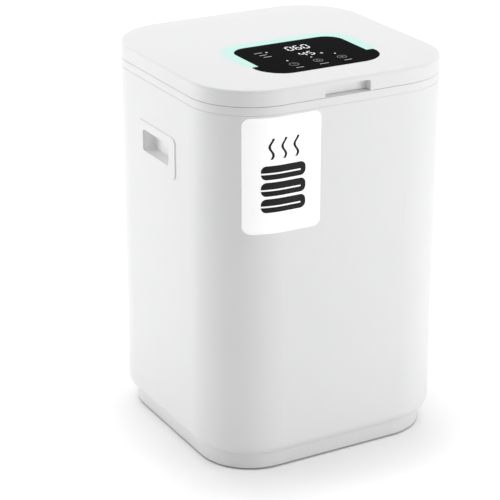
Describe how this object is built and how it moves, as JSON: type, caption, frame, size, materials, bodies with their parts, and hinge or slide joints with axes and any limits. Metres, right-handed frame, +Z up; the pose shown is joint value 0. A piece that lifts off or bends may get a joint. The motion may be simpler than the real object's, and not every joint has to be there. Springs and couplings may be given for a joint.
{
  "type": "towel warmer bucket",
  "caption": "Tall rounded-square towel warming bucket with a hinged lid, black touch panel with a lit surround, side grips and a heated metal inner bucket.",
  "frame": {"origin": "middle of the footprint on the surface it stands on", "axes": "+X to the right and +Y to the back, seen from the front with the finger notch; +Z up"},
  "size_m": [0.3148, 0.3111, 0.465],
  "materials": {
    "white_plastic": "fine satin moulding",
    "base_plastic": "fine satin moulding",
    "liner_plastic": "smooth moulding",
    "grey_rubber": "matt",
    "seal_rubber": "matt silicone",
    "bucket_aluminium": "drawn, satin",
    "heater_film": "silicone film",
    "wool": "felt",
    "steel_sheet": "pressed sheet",
    "steel_fastener": "zinc plated",
    "brown_phenolic": "moulded",
    "ceramic_fuse": "fired",
    "black_plastic": "moulded",
    "board_green": "solder mask",
    "transformer_core": "varnished",
    "relay_blue": "moulded",
    "terminal_green": "moulded",
    "lead_red": "silicone wire",
    "harness_grey": "sleeved wire",
    "label_vinyl": "vinyl sticker",
    "strip_glow": "lit translucent strip",
    "panel_black": "gloss black panel",
    "led_white": "lamp"
  },
  "bodies": {
    "bucket": {"outer_shell": "white_plastic", "base_tray": "base_plastic", "foot_ring": "grey_rubber", "rim_frame": "white_plastic", "inner_bucket": "bucket_aluminium", "side_heater": "heater_film", "bottom_heater": "heater_film", "bottom_insulation": "wool", "heater_cover": "steel_sheet", "stud_nuts": "steel_fastener", "insulation_jacket": "wool", "bucket_pads": "grey_rubber", "thermostat": "brown_phenolic", "thermal_fuse": "ceramic_fuse", "temperature_sensor": "black_plastic", "power_board": "board_green", "transformer": "transformer_core", "relay": "relay_blue", "terminal_block": "terminal_green", "power_board_screws": "steel_fastener", "heater_leads": "lead_red", "body_harness": "harness_grey", "cord_gland": "black_plastic", "gland_nut": "black_plastic", "handle_left": "white_plastic", "handle_right": "white_plastic", "handle_screws": "steel_fastener", "bucket_screws": "steel_fastener", "rim_screws": "steel_fastener", "base_screws": "steel_fastener", "hinge_pins": "steel_fastener", "front_label": "label_vinyl"},
    "lid": {"lid_cover": "white_plastic", "lid_liner": "liner_plastic", "lid_gasket": "seal_rubber", "lid_insulation": "wool", "liner_screws": "steel_fastener", "light_guide": "strip_glow", "control_glass": "panel_black", "display_board": "board_green", "display_modules": "black_plastic", "touch_springs": "steel_fastener", "guide_leds": "led_white", "buzzer": "black_plastic", "display_screws": "steel_fastener", "lid_harness": "harness_grey"}
  },
  "joints": [
    {"name": "lid_hinge", "type": "hinge", "parent": "bucket", "child": "lid", "pos_m": [0, 0.153, 0.4396], "axis": [-1, 0, 0], "range_deg": [0, 100]}
  ]
}
